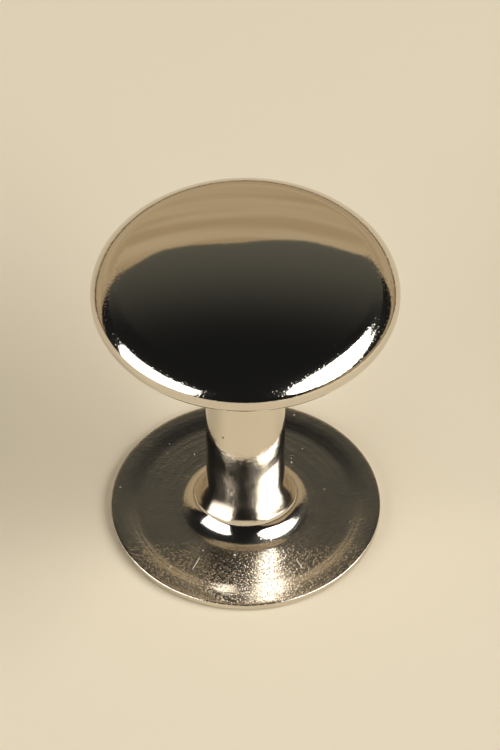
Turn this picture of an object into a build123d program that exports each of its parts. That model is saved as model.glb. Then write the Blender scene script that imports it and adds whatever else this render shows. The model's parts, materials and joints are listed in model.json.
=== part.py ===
from build123d import *

import os
from math import asin, cos, degrees, radians, sin

# A hollow rivet of the 12 mm size, in millimetres: a post drawn from one sheet, and a
# domed cap that is pushed onto the post's tip. It stands on the flange of the post, its
# shank runs up along +Z, and the origin is the centre of the flange's underside.

# Post: the sheet and its flange
post_sheet = 0.28
flange_setback = 0.55  # the flange's edge lies this far inside the cap's
brim_width = 0.45  # flat outer brim, a little clear of the table
brim_lift = 0.06
brim_slope_width = 0.7  # the flange falls from the brim to the flat that it stands on
brim_bend = 1.2

# Post: the shank, and the flare that its foot opens out into the flange with
shank_diameter = 3.15
flare_height = 1.21  # above the flange
flare_width = 0.81  # from the shank outwards
flare_waist_height = 0.47  # the flare is steep above its waist, and half as steep below
flare_waist_width = 0.3
flare_top_bend = 1.1
flare_waist_bend = 1.2
flare_foot_bend = 0.8

# Post: the shank's shoulder and the snap tip above it, which the cap hides
shoulder_height = 10.85
shoulder_inside_bend = 0.04
shoulder_seat_width = 0.1  # flat ring that the cap's collar stands on
neck_depth = 0.12  # the neck behind the rounded head of the tip
neck_taper_length = 0.4
neck_taper_bend = 0.3
head_bend = 0.775  # from the side of the head to its flat end
head_wall_length = 0.225
head_room = 0.3  # from the end of the tip to the inside of the crown

# Cap: the domed shell, with its rim curled round the edge of the socket plate
cap_diameter = 12.0
cap_sheet = 0.25
crown_radius = 24.0
cap_shoulder_radius = 1.6
cap_shoulder_slope = 50.0  # degrees, where the shoulder passes into the tighter curl
hem_width = 0.75

# Cap: the socket plate, a shallow dish with a collar drawn down from its middle
socket_sheet = 0.25
socket_inside_bend = 0.05
socket_edge_height = 0.06  # of the turned-up edge, above the widest line of the cap
collar_length = 1.55
collar_bend = 0.2

# Clearances and the rounding that blanking leaves on a cut edge
tip_gap = 0.03  # radial, between the head of the tip and the collar
nest_gap = 0.03  # radial, between the socket plate and the shell
cut_edge_round = 0.05

# Radii that follow from the sizes above
cap_radius = cap_diameter / 2
flange_radius = cap_radius - flange_setback
shank_radius = shank_diameter / 2
shoulder_bend = post_sheet + shoulder_inside_bend
tip_radius = shank_radius - shoulder_bend - shoulder_seat_width - tip_gap
neck_radius = tip_radius - neck_depth
collar_bore_radius = tip_radius + tip_gap
collar_radius = collar_bore_radius + socket_sheet
socket_edge_bend = socket_sheet + socket_inside_bend
socket_radius = cap_radius - cap_sheet - nest_gap
curl_radius = cap_sheet + socket_edge_bend

# The arcs of the cap's outer face, each tangent to the next: curl, shoulder and crown
curl_turn = 180 - cap_shoulder_slope
curl_to_shoulder = cap_shoulder_radius - curl_radius
shoulder_to_crown = crown_radius - cap_shoulder_radius
shoulder_centre_radius = cap_radius - curl_radius - curl_to_shoulder * sin(radians(cap_shoulder_slope))
crown_angle = asin(shoulder_centre_radius / shoulder_to_crown)
crown_turn = degrees(crown_angle)
shoulder_turn = cap_shoulder_slope - crown_turn

# Heights that follow from the sizes above, with the collar standing on the shoulder
socket_height = shoulder_height + collar_length
cap_widest_height = socket_height + socket_edge_bend
shoulder_centre_height = cap_widest_height - curl_to_shoulder * cos(radians(cap_shoulder_slope))
crown_height = shoulder_centre_height - shoulder_to_crown * cos(crown_angle) + crown_radius
tip_height = crown_height - cap_sheet - head_room


def bent_sheet(corners, bends, sheet):
    """Outline a bent sheet. One face runs along the corners, with a bend at each inner
    one, and the other face lies one sheet's thickness to the left of it."""
    corners = [Vector(corner) for corner in corners]
    lefts = [(end - start).normalized().rotate(Axis.Z, 90) for start, end in zip(corners, corners[1:])]
    far_corners = [corners[0] + lefts[0] * sheet]
    far_bends = []
    for corner, before, after, bend in zip(corners[1:], lefts, lefts[1:], bends):
        far_corners.append(corner + (before + after) * (sheet / (1 + before.dot(after))))
        turns_left = before.cross(after).Z > 0
        far_bends.append(bend - sheet if turns_left else bend + sheet)
    far_corners.append(corners[-1] + lefts[-1] * sheet)
    near_face = FilletPolyline(corners, radius=bends)
    far_face = FilletPolyline(far_corners, radius=far_bends)
    Line(near_face @ 0, far_face @ 0)
    Line(near_face @ 1, far_face @ 1)


# The post is one drawn sheet. Its outer face runs in from the cut edge of the flange,
# up the flare and the shank, in over the shoulder and up round the tip to the axis. The
# sheet lies below and inside that line, so the shank is open from below and closed above.
brim_inner_radius = flange_radius - brim_width
seat_radius = brim_inner_radius - brim_slope_width
taper_height = tip_height - head_bend - head_wall_length

with BuildPart() as post:
    with BuildSketch(Plane.XZ) as post_section:
        with BuildLine():
            bent_sheet(
                [
                    (flange_radius, brim_lift + post_sheet),
                    (brim_inner_radius, brim_lift + post_sheet),
                    (seat_radius, post_sheet),
                    (shank_radius + flare_width, post_sheet),
                    (shank_radius + flare_waist_width, post_sheet + flare_waist_height),
                    (shank_radius, post_sheet + flare_height),
                    (shank_radius, shoulder_height),
                    (neck_radius, shoulder_height),
                    (neck_radius, taper_height - neck_taper_length),
                    (tip_radius, taper_height),
                    (tip_radius, tip_height),
                    (0, tip_height),
                ],
                [
                    brim_bend,
                    brim_bend,
                    flare_foot_bend,
                    flare_waist_bend,
                    flare_top_bend,
                    shoulder_bend,
                    neck_depth,
                    neck_taper_bend,
                    post_sheet + neck_taper_bend,
                    head_bend,
                ],
                post_sheet,
            )
        make_face()
        fillet(post_section.vertices().group_by(Axis.X)[-1], radius=cut_edge_round)
    revolve(axis=Axis.Z)
post.part.label = "post"

# The cap's shell is a shallow cup. A gentle crown turns down through a rounded shoulder,
# and the rim is curled in below the widest line to a flat hem under the socket plate.
with BuildPart() as cap_shell:
    with BuildSketch(Plane.XZ) as shell_section:
        with BuildLine():
            shell_ends = []
            for depth in (0, cap_sheet):
                crown = JernArc((0, crown_height - depth), (1, 0), crown_radius - depth, -crown_turn)
                shoulder = JernArc(crown @ 1, crown % 1, cap_shoulder_radius - depth, -shoulder_turn)
                curl = JernArc(shoulder @ 1, shoulder % 1, curl_radius - depth, -curl_turn)
                hem = Line(curl @ 1, curl @ 1 - (hem_width, 0))
                shell_ends.append((crown @ 0, hem @ 1))
            for outer_end, inner_end in zip(*shell_ends):
                Line(outer_end, inner_end)
        make_face()
    revolve(axis=Axis.Z)
cap_shell.part.label = "cap_shell"

# The socket plate lies on the hem with its edge turned up inside the curl, so it can't
# leave the shell. Its collar stands on the shoulder of the post, round the neck and tip.
with BuildPart() as cap_socket:
    with BuildSketch(Plane.XZ) as socket_section:
        with BuildLine():
            bent_sheet(
                [
                    (collar_radius, shoulder_height),
                    (collar_radius, socket_height),
                    (socket_radius, socket_height),
                    (socket_radius, cap_widest_height + socket_edge_height),
                ],
                [collar_bend, socket_edge_bend],
                socket_sheet,
            )
        make_face()
    revolve(axis=Axis.Z)
cap_socket.part.label = "cap_socket"

os.makedirs("parts", exist_ok=True)
export_step(post.part, "parts/post.step")
export_step(cap_shell.part, "parts/cap_shell.step")
export_step(cap_socket.part, "parts/cap_socket.step")
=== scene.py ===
import json
from math import asin, ceil, cos, pi, radians, sin, tan

import bpy
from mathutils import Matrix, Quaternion, Vector
from mathutils.geometry import interpolate_bezier


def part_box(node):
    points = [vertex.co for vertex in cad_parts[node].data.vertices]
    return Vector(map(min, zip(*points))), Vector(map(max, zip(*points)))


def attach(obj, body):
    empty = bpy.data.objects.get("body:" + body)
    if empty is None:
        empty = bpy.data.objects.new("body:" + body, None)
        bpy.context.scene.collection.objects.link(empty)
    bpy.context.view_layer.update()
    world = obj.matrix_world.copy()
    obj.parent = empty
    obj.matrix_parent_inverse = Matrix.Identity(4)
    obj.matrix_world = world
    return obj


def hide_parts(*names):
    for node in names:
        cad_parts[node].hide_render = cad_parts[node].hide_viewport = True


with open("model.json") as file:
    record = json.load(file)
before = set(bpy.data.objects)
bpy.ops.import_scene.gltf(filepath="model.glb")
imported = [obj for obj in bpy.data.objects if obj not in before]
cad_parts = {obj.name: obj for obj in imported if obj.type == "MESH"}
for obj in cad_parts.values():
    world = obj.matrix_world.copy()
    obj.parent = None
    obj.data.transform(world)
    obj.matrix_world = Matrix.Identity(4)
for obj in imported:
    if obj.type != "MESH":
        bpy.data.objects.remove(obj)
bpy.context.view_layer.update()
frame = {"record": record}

# The post is one piece of thin steel strip, drawn in a press into a tube that is closed at
# its tip, and then plated with bright nickel. The foot of the shank flares out into the
# flange that it stands on, and the cap's collar stands on the shoulder under the tip.
MM = 0.001
post_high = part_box("post")[1]
socket_low, socket_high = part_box("cap_socket")
mounts = {mount["name"]: mount for mount in frame["record"]["mounts"]}

post_sheet = 0.28 * MM
flange_radius = post_high.x
brim_width = 0.45 * MM
brim_lift = 0.085 * MM
brim_slope_width = 0.7 * MM
brim_bend = 1.2 * MM
shank_radius = mounts["shank"]["dims"]["r_mm"] * MM
flare_height = 1.186 * MM
flare_width = 0.872 * MM
flare_waist_height = 0.346 * MM
flare_waist_width = 0.339 * MM
flare_top_bend = 2.59 * MM
flare_waist_bend = 1.25 * MM
flare_foot_bend = 0.79 * MM
shoulder_bend = 0.32 * MM
tip_radius = 1.125 * MM
neck_depth = 0.12 * MM
neck_taper_length = 0.4 * MM
neck_taper_bend = 0.3 * MM
head_bend = 0.775 * MM
head_wall_length = 0.225 * MM
cut_edge_round = 0.05 * MM

shoulder_height = socket_low.z
tip_height = post_high.z
brim_height = brim_lift + post_sheet
brim_inner_radius = flange_radius - brim_width
seat_radius = brim_inner_radius - brim_slope_width
neck_radius = tip_radius - neck_depth
taper_height = tip_height - head_bend - head_wall_length

bend_step = radians(3.5)
straight_step = 0.2 * MM
turns_of_spin = 240
closeness = 0.001 * MM
smooth_angle = radians(35)


def start_line(name, place):
    """Begin a line as one point: a small plane, merged to its centre."""
    bpy.ops.object.select_all(action="DESELECT")
    bpy.ops.mesh.primitive_plane_add(size=MM, location=place)
    line = bpy.context.object
    line.name = name
    bpy.ops.object.transform_apply(location=True, rotation=False, scale=False)
    bpy.ops.object.mode_set(mode="EDIT")
    bpy.ops.mesh.select_mode(type="VERT")
    bpy.ops.mesh.select_all(action="SELECT")
    bpy.ops.mesh.merge(type="CENTER")
    return line


def draw_straight(start, end):
    """Extrude the point to the end of a straight stretch, in short steps."""
    way = Vector(end) - Vector(start)
    steps = max(1, ceil(way.length / straight_step))
    for _ in range(steps):
        bpy.ops.mesh.extrude_region_move(
            TRANSFORM_OT_translate={"value": (way.x / steps, 0, way.y / steps)}
        )


def draw_bend(centre, turn, step=bend_step):
    """Spin the point round a bend. A turn to the right is positive."""
    bpy.ops.mesh.spin(
        steps=max(2, ceil(abs(turn) / step)), angle=-turn, center=(centre[0], 0, centre[1]), axis=(0, 1, 0)
    )


def draw_section(corners, bends):
    """Draw a bent sheet's section along its corners, with a bend at each inner one."""
    here = Vector(corners[0])
    for before, corner, after, bend in zip(corners, corners[1:], corners[2:], bends):
        corner = Vector(corner)
        way_in = (corner - Vector(before)).normalized()
        way_out = (Vector(after) - corner).normalized()
        turn = way_in.angle_signed(way_out)
        setback = bend * tan(abs(turn) / 2)
        bend_start = corner - way_in * setback
        side = 1 if turn > 0 else -1
        centre = bend_start + Vector((way_in.y, -way_in.x)) * bend * side
        draw_straight(here, bend_start)
        draw_bend(centre, turn)
        here = corner + way_out * setback
    draw_straight(here, corners[-1])


def spin_sheet(sheet, thickness):
    """Spin the section round the axis, close its seam and pole, and thicken it inwards."""
    bpy.ops.mesh.select_all(action="SELECT")
    bpy.ops.mesh.spin(steps=turns_of_spin, angle=2 * pi, center=(0, 0, 0), axis=(0, 0, 1))
    bpy.ops.mesh.select_all(action="SELECT")
    bpy.ops.mesh.remove_doubles(threshold=closeness)
    bpy.ops.mesh.normals_make_consistent(inside=False)
    bpy.ops.object.mode_set(mode="OBJECT")
    wall = sheet.modifiers.new("wall", "SOLIDIFY")
    wall.thickness = thickness
    wall.offset = -1
    wall.use_even_offset = True
    bpy.ops.object.modifier_apply(modifier=wall.name)


post = start_line("post_drawn_sheet", (flange_radius, 0, brim_height))
draw_section(
    [
        (flange_radius, brim_height),
        (brim_inner_radius, brim_height),
        (seat_radius, post_sheet),
        (shank_radius + flare_width, post_sheet),
        (shank_radius + flare_waist_width, post_sheet + flare_waist_height),
        (shank_radius, post_sheet + flare_height),
        (shank_radius, shoulder_height),
        (neck_radius, shoulder_height),
        (neck_radius, taper_height - neck_taper_length),
        (tip_radius, taper_height),
        (tip_radius, tip_height),
        (0, tip_height),
    ],
    [
        brim_bend,
        brim_bend,
        flare_foot_bend,
        flare_waist_bend,
        flare_top_bend,
        shoulder_bend,
        neck_depth,
        neck_taper_bend,
        post_sheet + neck_taper_bend,
        head_bend,
    ],
)
spin_sheet(post, post_sheet)

# the blanked edge of the flange is slightly rounded
bpy.ops.object.mode_set(mode="EDIT")
bpy.ops.mesh.select_mode(type="EDGE")
bpy.ops.mesh.select_all(action="DESELECT")
bpy.ops.object.mode_set(mode="OBJECT")
for edge in post.data.edges:
    ends = [post.data.vertices[i].co for i in edge.vertices]
    on_rim = all(end.xy.length > flange_radius - 5 * closeness for end in ends)
    edge.select = on_rim and abs(ends[0].z - ends[1].z) < closeness
bpy.ops.object.mode_set(mode="EDIT")
bpy.ops.mesh.bevel(offset=cut_edge_round, segments=3, affect="EDGES")
bpy.ops.object.mode_set(mode="OBJECT")
bpy.ops.object.shade_smooth_by_angle(angle=smooth_angle)


class Value:
    """A number that varies over a surface. Python's operators on it add Math nodes."""

    def __init__(self, finish, socket):
        self.finish = finish
        self.socket = socket

    def math(self, operation, first, second):
        return self.finish.add("ShaderNodeMath", {"operation": operation}, {0: first, 1: second})

    def __add__(self, other):
        return self.math("ADD", self, other)

    __radd__ = __add__

    def __sub__(self, other):
        return self.math("SUBTRACT", self, other)

    def __rsub__(self, other):
        return self.math("SUBTRACT", other, self)

    def __mul__(self, other):
        return self.math("MULTIPLY", self, other)

    __rmul__ = __mul__

    def __pow__(self, other):
        return self.math("POWER", self, other)


class Finish:
    """A material with its shader, and the values that its patterns are made from."""

    def __init__(self, name):
        self.material = bpy.data.materials.new(name)
        self.material.use_nodes = True
        self.tree = self.material.node_tree
        self.shader = self.tree.nodes["Principled BSDF"]
        self.place = self.add("ShaderNodeTexCoord", output="Object")

    def add(self, kind, settings=None, sockets=None, output=0):
        """Add a node, make its settings and fill its sockets, and give one output's value."""
        node = self.tree.nodes.new(kind)
        for setting, value in (settings or {}).items():
            setattr(node, setting, value)
        for name, value in (sockets or {}).items():
            self.fill(node.inputs[name], value)
        return Value(self, node.outputs[output])

    def fill(self, socket, value):
        """Link a value that varies to a socket, or set the socket to a plain one."""
        if isinstance(value, Value):
            self.tree.links.new(value.socket, socket)
        else:
            socket.default_value = value

    def axis(self, name):
        """The place along one axis, in metres."""
        return self.add("ShaderNodeSeparateXYZ", sockets={0: self.place}, output=name)

    def stretched(self, scale):
        """The place, scaled along each axis."""
        return self.add("ShaderNodeVectorMath", {"operation": "MULTIPLY"}, {0: self.place, 1: scale})

    def radius(self):
        """The distance from the axis of the rivet, in metres."""
        level = self.stretched((1, 1, 0))
        return self.add("ShaderNodeVectorMath", {"operation": "LENGTH"}, {0: level}, output="Value")

    def distance(self, place):
        """The distance from a place, in metres."""
        ends = {0: self.place, 1: place}
        return self.add("ShaderNodeVectorMath", {"operation": "DISTANCE"}, ends, output="Value")

    def rise(self, value, low, high):
        """0 at low, 1 at high, and smooth between."""
        return self.add(
            "ShaderNodeMapRange",
            {"interpolation_type": "SMOOTHSTEP"},
            {"Value": value, "From Min": low, "From Max": high},
        )

    def noise(self, size, detail, place=None):
        """Cloudy noise with features of that size in metres, from 0 to 1."""
        return self.add(
            "ShaderNodeTexNoise", sockets={"Vector": place or self.place, "Scale": 1 / size, "Detail": detail}
        )

    def rings(self, from_axis, spacing):
        """Cloudy rings round the axis, from 0 to 1."""
        return self.add(
            "ShaderNodeTexNoise", {"noise_dimensions": "1D"}, {"W": from_axis, "Scale": 1 / spacing}
        )

    def blend(self, share, first, second):
        """Mix two colours."""
        return self.add("ShaderNodeMix", {"data_type": "RGBA"}, {0: share, 6: first, 7: second}, output=2)

    def bump(self, height, depth, under=None):
        """Raise the surface by height, a value from 0 to 1, times depth in metres."""
        sockets = {"Height": height, "Distance": depth}
        if under:
            sockets["Normal"] = under
        return self.add("ShaderNodeBump", sockets=sockets)

    def finish(self, piece, **sockets):
        """Fill the shader's own sockets, and give the piece the material."""
        for name, value in sockets.items():
            self.fill(self.shader.inputs[name.replace("_", " ")], value)
        piece.data.materials.clear()
        piece.data.materials.append(self.material)


nickel = (0.72, 0.66, 0.57, 1)
dull_nickel = (0.60, 0.54, 0.45, 1)
dirt = (0.06, 0.05, 0.04, 1)
patch_size = 0.9 * MM
cloud_size = 1.5 * MM
pit_size = 0.10 * MM
pit_depth = 0.0065 * MM
ring_spacing = 0.35 * MM
ring_depth = 0.010 * MM
ripple_size = 0.6 * MM
ripple_depth = 0.006 * MM
speck_size = 0.22 * MM

plating = Finish("drawn_nickel")
from_axis = plating.radius()
on_flange = plating.rise(from_axis, shank_radius + 0.2 * MM, shank_radius + 0.9 * MM)
in_front = plating.rise(plating.axis("Y"), -1.8 * MM, -3.2 * MM)
patches = plating.rise(plating.noise(patch_size, 2), 0.38, 0.62)
clouds = plating.noise(cloud_size, 3)
pits = plating.rise(plating.noise(pit_size, 1), 0.50, 0.72)
pitting = 0.06 + on_flange * (0.14 + 0.12 * patches + 0.8 * in_front)
pit_bump = plating.bump(pits * pitting, pit_depth)
ring_bump = plating.bump(plating.rings(from_axis, ring_spacing) * on_flange, ring_depth, pit_bump)
skin = plating.bump(plating.noise(ripple_size, 2), ripple_depth, ring_bump)
marks = on_flange * plating.rise(plating.noise(speck_size, 0), 0.84, 0.87)

# two short scratches in front, each with its middle, the way that it runs, and its length
scratch_width = 0.016 * MM
scratches = (
    ((-1.98 * MM, -3.20 * MM), (0.42, 0.91), 0.75 * MM),
    ((2.16 * MM, -3.22 * MM), (-0.47, 0.88), 0.59 * MM),
)
for middle, way, length in scratches:
    aside = plating.axis("X") - middle[0]
    ahead = plating.axis("Y") - middle[1]
    across = aside * way[1] - ahead * way[0]
    along = aside * way[0] + ahead * way[1]
    within = plating.rise(along * along, (length / 2) ** 2, (length / 4) ** 2)
    marks = marks + within * plating.rise(across * across, scratch_width**2, 0)

# a dark dot on the shank
dot_place = (-0.887 * MM, -1.30 * MM, 5.72 * MM)
dot = plating.rise(plating.distance(dot_place), 0.07 * MM, 0.03 * MM)

plating.finish(
    post,
    Base_Color=plating.blend(dot, plating.blend(clouds * on_flange * 0.5, nickel, dull_nickel), dirt),
    Metallic=1 - marks,
    Roughness=0.07 + on_flange * (0.05 + 0.12 * clouds) + 0.5 * marks,
    Normal=skin,
)
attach(post, "post")
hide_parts("post")

# The cap's shell is a shallow cup of thin strip, polished and plated until it mirrors. Its
# crown turns down through a rounded shoulder, and the rim is curled in under the socket
# plate, which holds the two pieces of the cap together.
shell_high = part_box("cap_shell")[1]
cap_radius = shell_high.x
crown_height = shell_high.z
cap_sheet = 0.25 * MM
crown_radius = 24.0 * MM
cap_shoulder_radius = 1.6 * MM
cap_shoulder_slope = radians(50)
curl_radius = 0.55 * MM
hem_width = 0.75 * MM
crown_step = radians(0.3)
cap_shoulder_step = radians(2.5)
curl_step = radians(4)

curl_to_shoulder = cap_shoulder_radius - curl_radius
shoulder_to_crown = crown_radius - cap_shoulder_radius
shoulder_centre_radius = cap_radius - curl_radius - curl_to_shoulder * sin(cap_shoulder_slope)
crown_turn = asin(shoulder_centre_radius / shoulder_to_crown)
crown_centre = (0, crown_height - crown_radius)
shoulder_centre = (shoulder_centre_radius, crown_centre[1] + shoulder_to_crown * cos(crown_turn))
curl_centre = (cap_radius - curl_radius, shoulder_centre[1] + curl_to_shoulder * cos(cap_shoulder_slope))
hem_start = (curl_centre[0], curl_centre[1] - curl_radius)

shell = start_line("cap_polished_shell", (0, 0, crown_height))
draw_bend(crown_centre, crown_turn, crown_step)
draw_bend(shoulder_centre, cap_shoulder_slope - crown_turn, cap_shoulder_step)
draw_bend(curl_centre, pi - cap_shoulder_slope, curl_step)
draw_straight(hem_start, (hem_start[0] - hem_width, hem_start[1]))
spin_sheet(shell, cap_sheet)
bpy.ops.object.shade_smooth_by_angle(angle=smooth_angle)

cap_pit_depth = 0.0016 * MM
cap_ripple_size = 0.7 * MM
cap_ripple_depth = 0.0008 * MM

polish = Finish("polished_nickel")
near_rim = polish.rise(polish.radius(), 4.4 * MM, 5.6 * MM)
pits = polish.rise(polish.noise(pit_size, 1), 0.55, 0.75)
pit_bump = polish.bump(pits * near_rim, cap_pit_depth)
skin = polish.bump(polish.noise(cap_ripple_size, 2), cap_ripple_depth, pit_bump)
specks = polish.rise(polish.noise(speck_size, 0), 0.895, 0.92)
polish.finish(
    shell,
    Base_Color=nickel,
    Metallic=1 - specks,
    Roughness=0.05 + 0.03 * near_rim + 0.5 * specks,
    Normal=skin,
)
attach(shell, "cap")
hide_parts("cap_shell")

# The socket plate closes the cap from below. It is a shallow dish with its edge turned up
# inside the curl of the shell, and a collar is drawn down from its middle for the tip.
socket_sheet = 0.25 * MM
tip_gap = 0.03 * MM
collar_length = 1.55 * MM
collar_bend = 0.2 * MM
socket_edge_bend = 0.3 * MM
collar_radius = tip_radius + tip_gap + socket_sheet
socket_radius = socket_high.x
socket_height = shoulder_height + collar_length

socket = start_line("cap_socket_plate", (collar_radius, 0, shoulder_height))
draw_section(
    [
        (collar_radius, shoulder_height),
        (collar_radius, socket_height),
        (socket_radius, socket_height),
        (socket_radius, socket_high.z),
    ],
    [collar_bend, socket_edge_bend],
)
spin_sheet(socket, socket_sheet)
bpy.ops.object.shade_smooth_by_angle(angle=smooth_angle)

socket_grain_size = 0.12 * MM
socket_grain_depth = 0.0012 * MM
socket_cloud_size = 1.2 * MM

drawn = Finish("socket_nickel")
grain = drawn.noise(socket_grain_size, 3)
clouds = drawn.noise(socket_cloud_size, 3)
drawn.finish(
    socket,
    Base_Color=drawn.blend(clouds, nickel, dull_nickel),
    Metallic=1.0,
    Roughness=0.2 + 0.1 * clouds,
    Normal=drawn.bump(grain, socket_grain_depth),
)
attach(socket, "cap")
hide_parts("cap_socket")

# The stage is a plain pale floor with a beige card bent round behind the rivet and a dim one
# above it, and two large soft boxes in front, to the left and the right, in a dark room.
floor_size = 1.2
floor_colour = (0.80, 0.70, 0.52, 1)
bpy.ops.object.select_all(action="DESELECT")
bpy.ops.mesh.primitive_plane_add(size=floor_size, location=(0, 0, 0))
floor = bpy.context.object
floor.name = "floor"
matt = Finish("floor_beige")
matt.finish(floor, Base_Color=floor_colour, Roughness=0.9)


def direction(azimuth, elevation):
    """A direction from the rivet. Azimuth counts from the camera's side to the right."""
    azimuth, elevation = radians(azimuth), radians(elevation)
    return Vector((sin(azimuth) * cos(elevation), -cos(azimuth) * cos(elevation), sin(elevation)))


def smooth_edge(points, steps):
    """A smooth line through the points. Its handles follow each point's neighbours."""
    edge = points[:1]
    for before, here, there, after in zip(points[:1] + points, points, points[1:], points[2:] + points[-1:]):
        leave = here + (there - before) / 6
        arrive = there - (after - here) / 6
        edge += interpolate_bezier(here, leave, arrive, there, steps + 1)[1:]
    return edge


def bent_card(name, distance, height, top):
    """A card bent round the rivet, with its top edge through those directions."""
    points = []
    for azimuth, elevation in top:
        way = direction(azimuth, elevation)
        points.append(way * (distance / way.xy.length))
    card = start_line(name, points[0])
    edge = smooth_edge(points, 6)
    for here, there in zip(edge, edge[1:]):
        bpy.ops.mesh.extrude_region_move(TRANSFORM_OT_translate={"value": there - here})
    bpy.ops.mesh.select_all(action="SELECT")
    bpy.ops.mesh.extrude_region_move(TRANSFORM_OT_translate={"value": (0, 0, -height)})
    bpy.ops.object.mode_set(mode="OBJECT")
    return card


# the beige card glows evenly, with painted shade in soft level creases, and a painted shadow turns it brown
# along the floor
beige_card_top = [
    (25, 0), (50, 11), (75, 14), (110, 11), (125, 13.5), (140, 27), (156, 37), (170, 38.5), (182, 40.6),
    (195, 39.5), (206, 41), (219, 35), (235, 22), (248, 10.5), (265, 0),
]
# the two beiges are one glow, lit and in painted crease shade
lit_beige = (0.56, 0.455, 0.30, 1)
shaded_beige = (0.45, 0.34, 0.205, 1)
# painted shadow: the card's glow turns this brown along its foot
shadow_brown = (0.12, 0.075, 0.04, 1)
black = (0, 0, 0, 1)
crease_size = 0.12

beige_card = bent_card("beige_card", distance=0.5, height=0.45, top=beige_card_top)
paper = Finish("card_beige")
# painted shade: the glow is darker in soft level creases
crease_shade = paper.rise(paper.noise(crease_size, 2, paper.stretched((0.3, 0.3, 3))), 0.35, 0.65)
# painted shadow: the glow darkens to brown near the floor
floor_shadow = paper.rise(paper.axis("Z"), 0.05, 0.015)
paper.finish(
    beige_card,
    Base_Color=black,
    Specular_IOR_Level=0.0,
    Emission_Color=paper.blend(floor_shadow, paper.blend(crease_shade, shaded_beige, lit_beige), shadow_brown),
    Emission_Strength=1.0,
)

# the dim card glows faintly low down behind the rivet, and fades into the room above
dim_card_top = [(azimuth, 66) for azimuth in range(90, 271, 10)]
dim_grey = (0.128, 0.126, 0.105, 1)
room_colour = (0.0115, 0.0122, 0.0130, 1)

dim_card = bent_card("dim_card", distance=0.55, height=0.9, top=dim_card_top)
shade = Finish("card_dim")
fade = shade.rise(shade.axis("Z") - 1.9 * shade.axis("Y"), 0.55, -0.7)
behind = shade.rise(shade.axis("Y"), 0, 0.25)
shade.finish(
    dim_card,
    Base_Color=black,
    Specular_IOR_Level=0.0,
    Emission_Color=shade.blend(fade**4 * behind, room_colour, dim_grey),
    Emission_Strength=1.0,
)


soft_box_distance = 0.6


def soft_box(name, shape, azimuth, elevation, roll, width, height, power):
    """A soft light, turned to the rivet."""
    lamp = bpy.data.lights.new(name, "AREA")
    lamp.shape = shape
    lamp.size = width
    lamp.size_y = height
    lamp.energy = power
    box = bpy.data.objects.new(name, lamp)
    bpy.context.scene.collection.objects.link(box)
    way = direction(azimuth, elevation)
    box.location = way * soft_box_distance
    box.rotation_euler = (way.to_track_quat("Z", "Y") @ Quaternion((0, 0, 1), radians(roll))).to_euler()
    box.visible_camera = False


soft_box(
    "soft_box_left", "RECTANGLE", azimuth=-62, elevation=20.5, roll=8, width=0.62, height=0.40, power=3.1
)
soft_box(
    "soft_box_right", "ELLIPSE", azimuth=69, elevation=39.75, roll=10, width=0.84, height=0.373, power=4.6
)

room = bpy.data.worlds.new("dark_room")
room.use_nodes = True
room.node_tree.nodes["Background"].inputs["Color"].default_value = room_colour
bpy.context.scene.world = room

# The camera stands where the photograph's did, 200 mm away and looking down at the
# rivet, with a long lens.
camera_distance = 200 * MM
camera_elevation = radians(48.01)
camera_pitch = radians(47.63)
camera_side = 0.179 * MM
aim_height = 6 * MM
eye = bpy.data.cameras.new("camera")
eye.lens = 242.4
eye.clip_start = 0.01
eye.clip_end = 5
camera = bpy.data.objects.new("camera", eye)
bpy.context.scene.collection.objects.link(camera)
camera.location = (
    camera_side,
    -camera_distance * cos(camera_elevation),
    aim_height + camera_distance * sin(camera_elevation),
)
camera.rotation_euler = (pi / 2 - camera_pitch, 0, 0)
bpy.context.scene.camera = camera
bpy.context.scene.view_settings.view_transform = "Standard"
